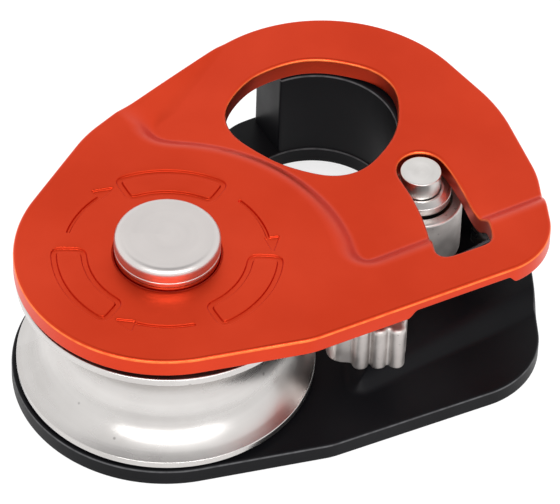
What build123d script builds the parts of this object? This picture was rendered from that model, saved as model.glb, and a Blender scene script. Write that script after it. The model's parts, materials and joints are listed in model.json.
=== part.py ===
from build123d import *
from math import atan2, cos, degrees, radians, sin
import os

# Rope pulley with a progress-capture cam, lying on its fixed side plate.
# Sizes are in millimetres.  The sheave turns about the Z axis, and the outer face
# of the fixed side plate is at Z = 0.  The carabiner hole lies towards +X +Y.

# ---- side plates ----
plate_t = 2.3                 # thickness of both plates
emboss_h = 1.8                # how far the carabiner end of a plate is pressed inwards
emboss_slope = 40             # slope of the pressed ridge, degrees from vertical
crest_r = 2.2                 # rounding along the convex edges of the ridge
foot_r = 1.5                  # rounding along its concave edges
moving_top = 20.2             # outer face of the moving plate, round the sheave

# Each plate's outline is the hull of these circles: (x, y, radius)
far_circles = [
    (28.6, 13.0, 13.3),       # right side
    (18.6, 16.3, 21.4),       # upper right
    (17.4, 22.6, 18.3),       # far end
    (3.9, 9.1, 16.7),         # left flank
]
moving_circles = far_circles + [
    (-0.3, 0.1, 16.9),        # round the sheave
    (13.3, -4.8, 8.4),        # front edge
    (34.75, 6.45, 8.1),       # front right corner
]
fixed_circles = far_circles + [
    (-0.2, 0.6, 17.4),
    (16.1, -3.8, 8.6),
    (32.6, 6.0, 10.0),
]

# ---- pressed ridge, as seen from above ----
ridge_start = (2.4, 36.0)     # beyond the outline, on the left flank
ridge_hook = (-8.36, 15.64)
ridge_mid = (13.7, 12.3)      # on the long arc round the sheave
ridge_valley = (20.1, -2.0)
ridge_end = (62.0, 22.4)      # beyond the outline, on the right side
base_valley = (20.0, -6.0)
base_end = (62.0, 22.4)
hook_r = 4.1
valley_r = 3.0
far = 120                     # a distance well beyond the plates
plate_middle = (10, 10, 2)
plate_reach = 30              # from there to the farthest point of a ridge on a plate

# ---- carabiner hole ----
eye_x = 16.4
eye_y = 24.8
eye_r = 9.0
# The moving plate's hole is the hull of these circles: it clears the round hole below
window_circles = [
    (eye_x, eye_y, eye_r + 0.1),
    (19.9, 27.55, 5.6),
    (18.1, 20.5, 5.5),
    (13.6, 25.6, 7.0),
    (11.3, 24.3, 5.6),
]

# ---- crescent wall between the plates ----
wall_gap = 0.3                # under the moving plate
wall_inset = 0.5              # from the plates' outline
wall_left = (12.3, 32.0)      # inner corner of its left end
wall_left_out = (5.8, 44.0)
wall_right_y = 21.6           # its right end
wall_right_x = eye_x + 5      # inside the carabiner hole
wall_root = 0.5               # how far it reaches down into the plate

# ---- sheave and its axle ----
sheave_r = 17.0
tread_r = 12.5
sheave_z0 = 3.0
sheave_z1 = 17.4
lip_h = 0.9                   # straight edge of each flange
lip_chamfer = 0.2
axle_r = 4.0
axle_foot_r = 5.2             # countersunk, riveted end
axle_foot_h = 1.2
axle_seat_gap = 0.02
head_r = 6.05
head_z0 = 20.55
head_z1 = 22.95
head_round = 0.95
head_chamfer = 0.2            # under the head
head_washer_t = 0.3
head_washer_r = 5.6

# ---- sealed ball bearing 8 x 19 x 6 ----
race_r = 9.5
race_w = 6.0
race_z0 = 7.2
inner_race_r = 5.75
outer_race_r = 7.85
ball_r = 1.5875
ball_pitch_r = 6.8
ball_count = 8
race_groove_r = 1.64
cage_r0 = 6.25
cage_r1 = 7.35
cage_h = 4.0
pocket_r = 1.68
pocket_l = 4.0                # a ball pocket's drill goes through the cage's wall
seal_t = 0.5
seal_inset = 0.15
seal_gap = 0.1
shoulder_r = 8.3

# ---- snap ring that keeps the bearing in the sheave ----
snap_z0 = 13.35
snap_t = 1.0
snap_r0 = 8.7
snap_r1 = 9.9
snap_groove_r = 10.0
snap_gap_w = 5.0
snap_lug_r = 1.3
snap_lug_in = 0.8             # from the ring's bore to the lugs' centres
snap_groove_gap = 0.05
snap_lug_hole_r = 0.5

# ---- spacers and bush on the axle ----
lower_spacer_r = 5.6
upper_spacer_r = 5.0
upper_flange_r = 6.8
upper_flange_t = 0.8
bush_bore_r = 5.06
bush_r = 5.9
bush_flange_r = 7.4
bush_flange_t = 0.45
bush_gap = 0.05               # between the bush's flange and the spacer's

# ---- curved slot of the moving plate, round the sheave's axis ----
pivot_x = 28.25               # cam axle
pivot_y = 16.4
slot_half = 2.8
slot_end = (33.5, 2.1)        # on the slanted lower end of the slot
slot_end_angle = 28
slot_end_span = 20            # half the length of the line that cuts the slot's end
slot_wide = 0.4               # extra width below the ridge
slot_wide_y = 6.9
slot_corner_r = 1.5
channel_clear = 0.75          # above the lock button
channel_r0 = 28.3
channel_r1 = 38.6
channel_end = 2.0             # how far it runs on past slot_end

# ---- cam axle and lock button ----
pin_r = 2.5
pin_groove_r = 2.05
pin_groove_gap = 0.02         # beside the snap ring
collar_r = 3.6
collar_top_r = 2.75
collar_z0 = 14.25
collar_cone_z = 15.3
collar_z1 = 15.65
collar_floor = 14.45
collar_bore_r = 2.45
button_r = 2.35
button_z0 = 15.7
button_top = 18.1
button_chamfer = 0.15
button_shank_r = 1.25
button_shank_z = 8.8
guide_r = 1.3
chamber_r = 1.9
chamber_top = 11.0
plug_top = 5.9
button_clip_z = 10.3
button_clip_t = 0.5
button_clip_r = 1.8
button_spring_r = 1.45
button_spring_wire = 0.15
button_spring_turns = 5
button_spring_low = 0.05      # gaps under and over the spring
button_spring_high = 0.1

# ---- cam ----
cam_z0 = 6.8
cam_z1 = 12.9                 # top of the arm
hub_r = 5.0
hub_top = 14.1
hub_recess_r = 3.8            # round the washer and the snap ring
arm = (26.3, 15.0)            # the arm's root, inside the hub
arm_r = 3.2
cam_bush_r0 = 2.56
cam_bush_r1 = 3.05
nose = (20.0, -1.6)
nose_r = 1.9
tab = (25.5, -2.2)
tab_r = 1.5
rib_start = (22.0, -3.6)
rib_step = (2.03, 0.2)
rib_count = 3
rib_r = 0.95
tooth_r = 0.42
tooth_count = 6
tooth_pitch = 1.5
cam_washer_t = 0.2
cam_washer_z = 12.94
cam_washer_r = 3.6
cam_ring_z = 13.22
cam_ring_t = 0.56
cam_ring_r0 = 2.1
cam_ring_r1 = 3.3
cam_ring_gap = 2.4            # the ring's opening

# ---- cam spring and its anchor ----
spring_leg = 9.3
spring_angle = -52.6          # puts the leg against the anchor pin
spring_tail = 3.0
coil_r = 3.1
coil_wire = 0.22
coil_z0 = 4.75
coil_pitch = 0.54
coil_turns = 3
anchor_x = 35.9
anchor_y = 20.1
anchor_r = 1.2
anchor_top = 10.6
anchor_chamfer = 0.2

# ---- marks pressed into the moving plate ----
mark_depth = 0.25
mark_w = 0.8                  # width of the frames' grooves
arrow_w = 0.45
arrow_barb = 1.35             # how far an arrow's head stands out from its line
mark_r0 = 8.9                 # frames: inner and outer radius, half their angle, corners
mark_r1 = 13.1
mark_half_angle = 29
mark_corner_r = 0.9
arrow_r = 11.5
arrow_half_angle = 18
arrow_head_angle = 9

tiny = 0.01                   # for picking edges

# ---- worked out from the sizes above ----
moving_z0 = moving_top - plate_t - emboss_h     # underside of its carabiner end
moving_sheave_z0 = moving_top - plate_t         # underside round the sheave
floor_z = plate_t + emboss_h                    # inner face of the fixed plate's carabiner end
race_mid_z = race_z0 + race_w / 2
ridge_rounding = [            # height on the raised plate and radius
    (plate_t + emboss_h, crest_r),
    (plate_t, foot_r),
    (emboss_h, foot_r),
    (0, crest_r),
]
slot_r = (pivot_x**2 + pivot_y**2) ** 0.5       # from the sheave's axis to the cam axle


def hull_of(circles, inset=0.0):
    # The rounded outline that wraps a list of circles
    with BuildSketch() as sketch:
        for x, y, r in circles:
            with Locations((x, y)):
                Circle(r - inset)
        make_hull()
    return sketch.sketch


def sheave_end(valley, end):
    # Plan of a plate's sheave end: everything on the sheave's side of the ridge
    with BuildSketch() as sketch:
        with BuildLine():
            Line(ridge_start, ridge_hook)
            ThreePointArc(ridge_hook, ridge_mid, valley)
            Polyline(valley, end, (far, end[1]), (far, -far), (-far, -far),
                     (-far, ridge_start[1] + far), (ridge_start[0], ridge_start[1] + far), ridge_start)
        make_face()
        corners = sketch.vertices()
        fillet(corners.sort_by_distance(ridge_hook)[0], hook_r)
        fillet(sketch.vertices().sort_by_distance(valley)[0], valley_r)
    return sketch.sketch


def ridge_edges(plate, level):
    # The level edges of the ridge at one height, without the far edges of the blank
    middle = Vertex(*plate_middle)
    edges = plate.edges().filter_by(lambda e: e.bounding_box().size.Z < tiny)
    edges = edges.filter_by(lambda e: e.distance_to(middle) < plate_reach)
    return edges.filter_by_position(Axis.Z, level - tiny, level + tiny)


def embossed_plate(outline, region):
    # A plate with its sheave end raised: the carabiner end is at 0 to plate_t
    with BuildPart() as plate:
        with BuildSketch():
            Rectangle(2 * far, 2 * far)
        extrude(amount=plate_t)
        with BuildSketch(Plane.XY.offset(plate_t + emboss_h)):
            add(region)
        extrude(amount=emboss_h, dir=(0, 0, -1), taper=-emboss_slope)
        with BuildSketch(Plane.XY.offset(emboss_h)):
            add(region)
        extrude(amount=emboss_h, dir=(0, 0, -1), taper=-emboss_slope, mode=Mode.SUBTRACT)
        for level, radius in ridge_rounding:
            fillet(ridge_edges(plate, level), radius)
        with BuildSketch():
            add(outline)
        extrude(amount=plate_t + emboss_h, mode=Mode.INTERSECT)
    return plate.part


def tube(r_in, r_out, z0, z1):
    # A plain ring about the Z axis
    with BuildPart() as ring:
        with BuildSketch(Plane.XY.offset(z0)):
            Circle(r_out)
            Circle(r_in, mode=Mode.SUBTRACT)
        extrude(amount=z1 - z0)
    return ring.part


def polar(radius, angle):
    # A point round the sheave's axis, angle in degrees
    return (radius * cos(radians(angle)), radius * sin(radians(angle)))


def save(part, name):
    part.label = name
    export_step(part, "parts/" + name + ".step")


os.makedirs("parts", exist_ok=True)

# ================= fixed side plate =================
with BuildPart() as fixed_side_plate:
    base = embossed_plate(hull_of(fixed_circles), sheave_end(base_valley, base_end))
    add(base.mirror(Plane.XY).moved(Location((0, 0, floor_z))))
    # the wall that bends round the far side of the carabiner hole
    with BuildSketch(Plane.XY.offset(floor_z - wall_root)):
        add(hull_of(far_circles, wall_inset))
        with BuildLine():
            Polyline(wall_left, wall_left_out, (far, far), (far, wall_right_y), (wall_right_x, wall_right_y),
                     close=True)
        make_face(mode=Mode.INTERSECT)
    extrude(amount=moving_z0 - wall_gap - floor_z + wall_root)
    # carabiner hole, axle hole with its countersink, cam axle and anchor pin holes
    with BuildSketch():
        with Locations((eye_x, eye_y)):
            Circle(eye_r)
        Circle(axle_r + axle_seat_gap)
        with Locations((pivot_x, pivot_y)):
            Circle(pin_r)
        with Locations((anchor_x, anchor_y)):
            Circle(anchor_r)
    extrude(amount=moving_top, mode=Mode.SUBTRACT)
    with BuildSketch():
        Circle(axle_foot_r + axle_seat_gap)
    with BuildSketch(Plane.XY.offset(axle_foot_h)):
        Circle(axle_r + axle_seat_gap)
    loft(mode=Mode.SUBTRACT)
save(fixed_side_plate.part, "fixed_side_plate")

# ================= moving side plate =================
slot_angle = degrees(atan2(pivot_y, pivot_x))
with BuildSketch() as slot:
    # a band round the sheave's axis, from the cam axle down to slot_end
    Circle(slot_r + slot_half)
    with BuildSketch(mode=Mode.PRIVATE) as wide:
        Circle(slot_r + slot_half + slot_wide)
        with Locations((slot_r, slot_wide_y)):
            Rectangle(2 * slot_r, far, align=(Align.CENTER, Align.MAX), mode=Mode.INTERSECT)
    add(wide.sketch)
    Circle(slot_r - slot_half, mode=Mode.SUBTRACT)
    across = Vector(slot_end_span, 0).rotate(Axis.Z, slot_end_angle)
    Polygon(Vector(*slot_end) - across, Vector(*slot_end) + across, polar(far, slot_angle), (0, 0),
            align=None, mode=Mode.INTERSECT)
    fillet(slot.vertices().sort_by_distance(slot_end)[0:2], slot_corner_r)
    with Locations((pivot_x, pivot_y)):
        Circle(slot_half)

with BuildSketch() as channel:
    # the way under the front rim, for the lock button
    Circle(channel_r1)
    Circle(channel_r0, mode=Mode.SUBTRACT)
    with Locations((slot_r, slot_end[1] + channel_end)):
        Rectangle(2 * slot_r, far, align=(Align.CENTER, Align.MAX), mode=Mode.INTERSECT)


def ring_sector(r_in, r_out, half_angle):
    # Part of a flat ring, centred on the +X direction
    with BuildSketch() as sketch:
        Circle(r_out)
        Circle(r_in, mode=Mode.SUBTRACT)
        Polygon((0, 0), polar(2 * r_out, -half_angle), polar(2 * r_out, half_angle),
                align=None, mode=Mode.INTERSECT)
    return sketch.sketch


with BuildSketch() as frame_sketch:
    add(ring_sector(mark_r0, mark_r1, mark_half_angle))
    fillet(frame_sketch.vertices(), mark_corner_r)
    offset(amount=-mark_w, mode=Mode.SUBTRACT)
frame_mark = frame_sketch.sketch

with BuildSketch() as arrow_sketch:
    add(ring_sector(arrow_r - arrow_w / 2, arrow_r + arrow_w / 2, arrow_half_angle))
    tip = polar(arrow_r + arrow_w, -arrow_half_angle - arrow_head_angle)
    barb = polar(arrow_r + arrow_barb, -arrow_half_angle)
    heel = polar(arrow_r - arrow_w / 2, -arrow_half_angle)
    Polygon(tip, barb, heel, align=None)
arrow_mark = arrow_sketch.sketch

with BuildPart() as moving_side_plate:
    lid = embossed_plate(hull_of(moving_circles), sheave_end(ridge_valley, ridge_end))
    add(lid.moved(Location((0, 0, moving_z0))))
    with BuildSketch(Plane.XY.offset(moving_z0)):
        add(hull_of(window_circles))
        add(slot.sketch)
        Circle(bush_r)
    extrude(amount=plate_t + emboss_h, mode=Mode.SUBTRACT)
    with BuildSketch(Plane.XY.offset(moving_z0)):
        add(channel.sketch)
    extrude(amount=button_top + channel_clear - moving_z0, mode=Mode.SUBTRACT)
    # three ring-shaped frames and three arrows round the axle's head
    with BuildSketch(Plane.XY.offset(moving_top - mark_depth)):
        with PolarLocations(0, 3, 90):
            add(frame_mark)
        with PolarLocations(0, 3, 30):
            add(arrow_mark)
    extrude(amount=mark_depth, mode=Mode.SUBTRACT)
save(moving_side_plate.part, "moving_side_plate")

# ================= sheave =================
with BuildPart() as sheave:
    with BuildSketch(Plane.XZ):
        with BuildLine():
            groove = ThreePointArc((sheave_r, sheave_z0 + lip_h), (tread_r, race_mid_z),
                                   (sheave_r, sheave_z1 - lip_h))
            Polyline(groove @ 1, (sheave_r, sheave_z1), (race_r, sheave_z1), (race_r, race_z0),
                     (shoulder_r, race_z0), (shoulder_r, sheave_z0), (sheave_r, sheave_z0), groove @ 0)
        make_face()
        with Locations((race_r, snap_z0 - snap_groove_gap)):
            Rectangle(snap_groove_r - race_r, snap_t + 2 * snap_groove_gap, align=(Align.MIN, Align.MIN),
                      mode=Mode.SUBTRACT)
    revolve(axis=Axis.Z)
    rims = sheave.edges().filter_by(GeomType.CIRCLE).filter_by(lambda e: e.radius > sheave_r - tiny)
    chamfer(rims, lip_chamfer)
save(sheave.part, "sheave")

# ================= axle, washers and spacers =================
with BuildPart() as sheave_axle:
    with BuildSketch(Plane.XZ):
        with BuildLine():
            Polyline((0, 0), (axle_foot_r, 0), (axle_r, axle_foot_h), (axle_r, head_z0), (head_r, head_z0),
                     (head_r, head_z1), (0, head_z1), close=True)
        make_face()
    revolve(axis=Axis.Z)
    rim = sheave_axle.edges().filter_by(GeomType.CIRCLE).group_by(Axis.Z)[-1]
    fillet(rim, head_round)
    under = sheave_axle.edges().filter_by(GeomType.CIRCLE).filter_by(lambda e: e.radius > head_r - tiny)
    chamfer(under.group_by(Axis.Z)[0], head_chamfer)
save(sheave_axle.part, "sheave_axle")

save(tube(axle_r, head_washer_r, head_z0 - head_washer_t, head_z0), "axle_head_washer")
save(tube(axle_r, lower_spacer_r, plate_t, race_z0), "lower_spacer")

with BuildPart() as upper_spacer:
    add(tube(axle_r, upper_spacer_r, race_z0 + race_w, head_z0 - head_washer_t))
    flange_top = moving_sheave_z0 - bush_flange_t - bush_gap
    add(tube(axle_r, upper_flange_r, flange_top - upper_flange_t, flange_top))
save(upper_spacer.part, "upper_spacer")

with BuildPart() as plate_bush:
    add(tube(bush_bore_r, bush_r, moving_sheave_z0, moving_top))
    add(tube(bush_bore_r, bush_flange_r, moving_sheave_z0 - bush_flange_t, moving_sheave_z0))
save(plate_bush.part, "plate_bush")

# ================= sheave bearing =================
with BuildPart() as race_groove:
    with BuildSketch(Plane.XZ):
        with Locations((ball_pitch_r, race_mid_z)):
            Circle(race_groove_r)
    revolve(axis=Axis.Z)

with BuildPart() as bearing_inner_race:
    add(tube(axle_r, inner_race_r, race_z0, race_z0 + race_w))
    add(race_groove.part, mode=Mode.SUBTRACT)
save(bearing_inner_race.part, "bearing_inner_race")

with BuildPart() as bearing_outer_race:
    add(tube(outer_race_r, race_r, race_z0, race_z0 + race_w))
    add(race_groove.part, mode=Mode.SUBTRACT)
save(bearing_outer_race.part, "bearing_outer_race")

with BuildPart() as bearing_balls:
    with Locations((0, 0, race_mid_z)):
        with PolarLocations(ball_pitch_r, ball_count):
            Sphere(ball_r)
save(bearing_balls.part, "bearing_balls")

with BuildPart() as bearing_cage:
    add(tube(cage_r0, cage_r1, race_mid_z - cage_h / 2, race_mid_z + cage_h / 2))
    with Locations((0, 0, race_mid_z)):
        with PolarLocations(ball_pitch_r, ball_count):
            Cylinder(pocket_r, pocket_l, rotation=(0, 90, 0), mode=Mode.SUBTRACT)
save(bearing_cage.part, "bearing_cage")

seal_low = race_z0 + seal_inset
seal_high = race_z0 + race_w - seal_inset - seal_t
save(tube(inner_race_r + seal_gap, outer_race_r, seal_low, seal_low + seal_t), "bearing_seal_lower")
save(tube(inner_race_r + seal_gap, outer_race_r, seal_high, seal_high + seal_t), "bearing_seal_upper")

with BuildPart() as sheave_snap_ring:
    with BuildSketch(Plane.XY.offset(snap_z0)):
        Circle(snap_r1)
        Circle(snap_r0, mode=Mode.SUBTRACT)
        with Locations((-snap_r0, 0)):
            Rectangle(2 * snap_lug_r, snap_gap_w, mode=Mode.SUBTRACT)
        lugs = [(-snap_r0 + snap_lug_in, side * (snap_gap_w / 2 + snap_lug_r / 2)) for side in (-1, 1)]
        with Locations(*lugs):
            Circle(snap_lug_r)
            Circle(snap_lug_hole_r, mode=Mode.SUBTRACT)
    extrude(amount=snap_t)
save(sheave_snap_ring.part, "sheave_snap_ring")

# ================= cam axle and lock button =================
cam_plane = Plane(origin=(pivot_x, pivot_y, 0), x_dir=(1, 0, 0), z_dir=(0, -1, 0))
cam_line = Axis((pivot_x, pivot_y, 0), (0, 0, 1))


def turned(points):
    # A piece turned about the cam axle's line, from its half profile (radius, height)
    with BuildPart() as piece:
        with BuildSketch(cam_plane):
            Polygon(*points, align=None)
        revolve(axis=cam_line)
    return piece.part


pin_groove_z0 = cam_ring_z - pin_groove_gap
pin_groove_z1 = cam_ring_z + cam_ring_t + pin_groove_gap
with BuildPart() as cam_axle:
    add(turned([
        (chamber_r, emboss_h), (pin_r, emboss_h),
        (pin_r, pin_groove_z0), (pin_groove_r, pin_groove_z0), (pin_groove_r, pin_groove_z1),
        (pin_r, pin_groove_z1), (pin_r, collar_z0),
        (collar_r, collar_z0), (collar_r, collar_cone_z), (collar_top_r, collar_z1), (collar_bore_r, collar_z1),
        (collar_bore_r, collar_floor), (guide_r, collar_floor), (guide_r, chamber_top), (chamber_r, chamber_top),
    ]))
save(cam_axle.part, "cam_axle")

save(turned([(0, emboss_h), (chamber_r, emboss_h), (chamber_r, plug_top), (0, plug_top)]), "cam_axle_plug")

with BuildPart() as lock_button:
    add(turned([(0, button_shank_z), (button_shank_r, button_shank_z), (button_shank_r, button_z0),
                (button_r, button_z0), (button_r, button_top), (0, button_top)]))
    chamfer(lock_button.edges().filter_by(GeomType.CIRCLE).group_by(Axis.Z)[-1], button_chamfer)
save(lock_button.part, "lock_button")

save(turned([(button_shank_r, button_clip_z), (button_clip_r, button_clip_z),
             (button_clip_r, button_clip_z + button_clip_t),
             (button_shank_r, button_clip_z + button_clip_t)]), "button_clip")


def coil(radius, wire_r, z0, pitch, turns, lefthand=False, leg=0, tail=0):
    # A round-wire coil about the cam axle's line, with straight ends along its tangents
    with BuildPart() as spring:
        with BuildLine() as path:
            winding = Helix(pitch, pitch * turns, radius, center=(pivot_x, pivot_y, z0), lefthand=lefthand)
            if leg:
                Line(winding @ 0 - leg * (winding % 0), winding @ 0)
            if tail:
                Line(winding @ 1, winding @ 1 + tail * (winding % 1))
        wire = path.wires()[0]
        with BuildSketch(Plane(origin=wire @ 0, z_dir=wire % 0)):
            Circle(wire_r)
        sweep(path=wire, is_frenet=True)
    return spring.part


button_spring_z0 = plug_top + button_spring_wire + button_spring_low
button_spring_h = button_clip_z - button_spring_high - 2 * button_spring_wire - plug_top
save(coil(button_spring_r, button_spring_wire, button_spring_z0, button_spring_h / button_spring_turns,
          button_spring_turns), "button_spring")

# ================= cam =================
with BuildPart() as cam:
    with BuildSketch(Plane.XY.offset(cam_z0)):
        add(hull_of([(*arm, arm_r), (*nose, nose_r), (*tab, tab_r)]))
    extrude(amount=cam_z1 - cam_z0)
    with Locations((pivot_x, pivot_y, cam_z0)):
        Cylinder(hub_r, hub_top - cam_z0, align=(Align.CENTER, Align.CENTER, Align.MIN))
    # ribs on the thumb tab, across the end of the cam
    with BuildSketch(Plane.XY.offset(cam_z0)):
        ribs = [Vector(*rib_start) + Vector(*rib_step) * i for i in range(rib_count)]
        with Locations(*ribs):
            Circle(rib_r)
    extrude(amount=cam_z1 - cam_z0)
    # teeth along the face that grips the rope
    along = Vector(arm[0] - nose[0], arm[1] - nose[1]).normalized()
    outward = along.rotate(Axis.Z, 90)
    first_tooth = Vector(*nose) + outward * nose_r + along * tooth_r
    with BuildSketch(Plane.XY.offset(cam_z0)):
        with Locations(*[first_tooth + along * (i * tooth_pitch) for i in range(tooth_count)]):
            Circle(tooth_r)
    extrude(amount=cam_z1 - cam_z0)
    with Locations((pivot_x, pivot_y, 0)):
        Cylinder(cam_bush_r1, moving_top, align=(Align.CENTER, Align.CENTER, Align.MIN), mode=Mode.SUBTRACT)
    with Locations((pivot_x, pivot_y, cam_z1)):
        Cylinder(hub_recess_r, moving_top, align=(Align.CENTER, Align.CENTER, Align.MIN), mode=Mode.SUBTRACT)
save(cam.part, "cam")

save(turned([(cam_bush_r0, cam_z0), (cam_bush_r1, cam_z0), (cam_bush_r1, cam_z1), (cam_bush_r0, cam_z1)]),
     "cam_bush")
save(turned([(cam_bush_r0, cam_washer_z), (cam_washer_r, cam_washer_z),
             (cam_washer_r, cam_washer_z + cam_washer_t), (cam_bush_r0, cam_washer_z + cam_washer_t)]),
     "cam_thrust_washer")

with BuildPart() as cam_snap_ring:
    add(turned([(cam_ring_r0, cam_ring_z), (cam_ring_r1, cam_ring_z),
                (cam_ring_r1, cam_ring_z + cam_ring_t), (cam_ring_r0, cam_ring_z + cam_ring_t)]))
    with Locations((pivot_x, pivot_y + cam_ring_r1, cam_ring_z)):
        Box(cam_ring_gap, 2 * cam_ring_r1, 3 * cam_ring_t, mode=Mode.SUBTRACT)
save(cam_snap_ring.part, "cam_snap_ring")

# the coil starts beside the anchor pin
cam_coil = coil(coil_r, coil_wire, coil_z0, coil_pitch, coil_turns, True, spring_leg, spring_tail)
save(cam_coil.rotate(cam_line, spring_angle), "cam_spring")

with BuildPart() as spring_anchor_pin:
    with BuildSketch(Plane.XY.offset(emboss_h)):
        with Locations((anchor_x, anchor_y)):
            Circle(anchor_r)
    extrude(amount=anchor_top - emboss_h)
    chamfer(spring_anchor_pin.edges().filter_by(GeomType.CIRCLE).group_by(Axis.Z)[-1], anchor_chamfer)
save(spring_anchor_pin.part, "spring_anchor_pin")
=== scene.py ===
import bpy
import json
import numpy as np
from math import atan2, cos, hypot, pi, radians, sin, tan
from mathutils import Matrix, Vector
from mathutils.geometry import delaunay_2d_cdt
from mathutils.kdtree import KDTree


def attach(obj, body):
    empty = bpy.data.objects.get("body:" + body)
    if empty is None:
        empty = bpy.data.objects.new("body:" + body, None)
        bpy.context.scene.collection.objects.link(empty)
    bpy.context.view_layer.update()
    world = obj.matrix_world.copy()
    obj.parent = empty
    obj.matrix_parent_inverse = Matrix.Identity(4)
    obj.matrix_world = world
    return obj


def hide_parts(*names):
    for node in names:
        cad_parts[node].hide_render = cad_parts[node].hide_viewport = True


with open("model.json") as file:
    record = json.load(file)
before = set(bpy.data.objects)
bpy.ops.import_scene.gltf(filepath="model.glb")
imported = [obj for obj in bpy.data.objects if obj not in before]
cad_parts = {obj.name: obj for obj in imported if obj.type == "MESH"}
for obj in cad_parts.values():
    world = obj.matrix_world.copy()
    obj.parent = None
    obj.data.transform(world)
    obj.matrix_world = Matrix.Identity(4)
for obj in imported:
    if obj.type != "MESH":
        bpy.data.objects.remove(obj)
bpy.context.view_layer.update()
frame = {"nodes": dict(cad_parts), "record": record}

# Every shape below is in millimetres in the part's own frame, and new_piece scales it once.

MM = 0.001

# ---- camera: a long lens, looking down at 45.6 degrees, with a slight roll ----
SENSOR = 36.0
LENS = 321.43
VIEW_ELEVATION = radians(45.6)
VIEW_ROLL = radians(2.07)
VIEW_DISTANCE = 0.5854
AIM = Vector((0.01254, 0.02037, 0.0))

# ---- sizes of the plates ----
PLATE_T = 2.3
EMBOSS_H = 1.8                   # height of the pressed step between a plate's two ends
TOP = 20.2                       # outer face of the moving plate, round the sheave
FLOOR = PLATE_T + EMBOSS_H       # inner face of the fixed plate's carabiner end
FOOT_W, STRAIGHT_W, CREST_W = 0.8, 0.5, 2.2      # the pressed slope, from its foot to its crest
STEEPEST = 1.1                   # from the ridge line out to the steepest line
FADE, FADE_FROM, FADE_LENGTH = 1.4, 2.6, 4.5     # past the hook the slope widens
FADE_TURN = (radians(50), radians(80))           # angles round the hook where it starts to
MOVING_RIM, MOVING_RIM_UNDER = 0.42, 0.16
FIXED_RIM = 0.34
AXLE_BORE_R = 5.9                # hole of the moving plate round its bush

# circles whose hull is a plate's outline: x, y, radius
FAR_CIRCLES = [(28.6, 13.0, 13.3), (18.6, 16.3, 21.4), (17.4, 22.6, 18.3), (3.9, 9.1, 16.7)]
MOVING_CIRCLES = FAR_CIRCLES + [(-0.3, 0.1, 16.9), (13.3, -4.8, 8.4), (34.75, 6.45, 8.1)]
FIXED_CIRCLES = FAR_CIRCLES + [(-0.2, 0.6, 17.4), (16.1, -3.8, 8.6), (32.6, 6.0, 10.0)]

# the ridge line: from the flank round a hook, along a wide arc, and round a corner to the far edge
RIDGE_START = (2.4, 36.0)
HOOK_CENTRE = (-0.55, 21.65)
HOOK_R = 4.1
HOOK_ANGLES = (radians(152), radians(268))
RIDGE_HOOK = (-8.36, 15.64)
RIDGE_MID = (13.7, 12.3)
MOVING_VALLEY, MOVING_END = (20.1, -2.0), (62.0, 22.4)
FIXED_VALLEY, FIXED_END = (20.0, -6.4), (62.0, 22.8)
CORNER_CUT = 2.6                 # how far the corner is cut back
RIDGE_REACH = 3.0                # how far the line is averaged

EYE = (16.4, 24.8)               # the carabiner hole
EYE_R = 9.0
WINDOW_CIRCLES = [(16.4, 24.8, 9.2), (19.9, 27.55, 5.7), (18.1, 20.5, 5.6), (13.6, 25.6, 7.1),
                  (11.3, 24.3, 5.7)]
WINDOW_REACH = 3.5               # rounds the window's outline

PIVOT = (28.25, 16.4)            # the cam's axle
PIVOT_R = hypot(*PIVOT)
SLOT_HALF = 2.86                 # half the slot's width
SLOT_WIDE = 1.0                  # extra width on its outer side
SLOT_WIDE_Y = (6.7, 10.5)        # all of it below, none above
SLOT_END = (33.5, 2.1)           # a point on the slanted lower end
SLOT_END_ANGLE = radians(28)
SLOT_HEEL = 1.2                  # how far the slot's lower inner corner is cut back
SLOT_REACH = 2.1
CHANNEL = (28.3, 38.6)           # radii of the relief under the front rim
CHANNEL_H = 0.95
CHANNEL_SOFT = 0.9               # width of its sloping sides

WALL_INSET = 0.5                 # from the plate's edge to the crescent wall
WALL_LEFT, WALL_LEFT_OUT = (12.3, 32.0), (5.8, 44.0)    # two points on the wall's left end
WALL_RIGHT_Y = 21.6              # where its right end lies
WALL_TOP = 15.8
WALL_RIM = 0.35

# ---- turned and cast pieces ----
SHEAVE_R = 17.0
TREAD_R = 12.5
SHEAVE_Z = (3.0, 17.4)
GROOVE_MID = 10.2
FLANGE_EDGE = 0.9                # straight outer edge of each flange
SEAT_R, SEAT_Z = 9.5, 7.2        # the bearing's seat and the shoulder under it
SHOULDER_R = 8.3
RING_R, RING_Z = 10.0, (13.3, 14.4)
SHARP = 0.02                     # rounding of an inner corner

# sheave axle: foot in the fixed plate, shaft, and a head with a fine line round it
AXLE_R = 4.0
AXLE_FOOT_R, AXLE_FOOT_H = 5.2, 1.2
HEAD_R, HEAD_ROUND = 5.97, 1.0
HEAD_SEAT_R = 5.6
HEAD_SEAT, HEAD_EDGE, HEAD_TOP = 20.6, 20.85, 23.0
HEAD_LINE, HEAD_LINE_DEPTH = 21.2, 0.08

# cam axle with its collar, the button that slides in it, and the spring's anchor pin
PIN_R = 2.5
PIN_FOOT = 1.8                   # where the pins start in the fixed plate
COLLAR_R, COLLAR_Z = 3.6, (14.25, 15.3)
COLLAR_TOP_R, COLLAR_TOP = 2.75, 15.65
COLLAR_BORE_R, COLLAR_FLOOR = 2.45, 14.45
GUIDE_R = 1.3
CHAMBER_R, CHAMBER_TOP = 1.9, 11.0
BUTTON_R, BUTTON_Z = 2.35, (15.7, 18.1)
SHANK_R, SHANK_FOOT = 1.25, 8.8
ANCHOR, ANCHOR_R, ANCHOR_TOP = (35.9, 20.1), 1.2, 10.6

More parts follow.
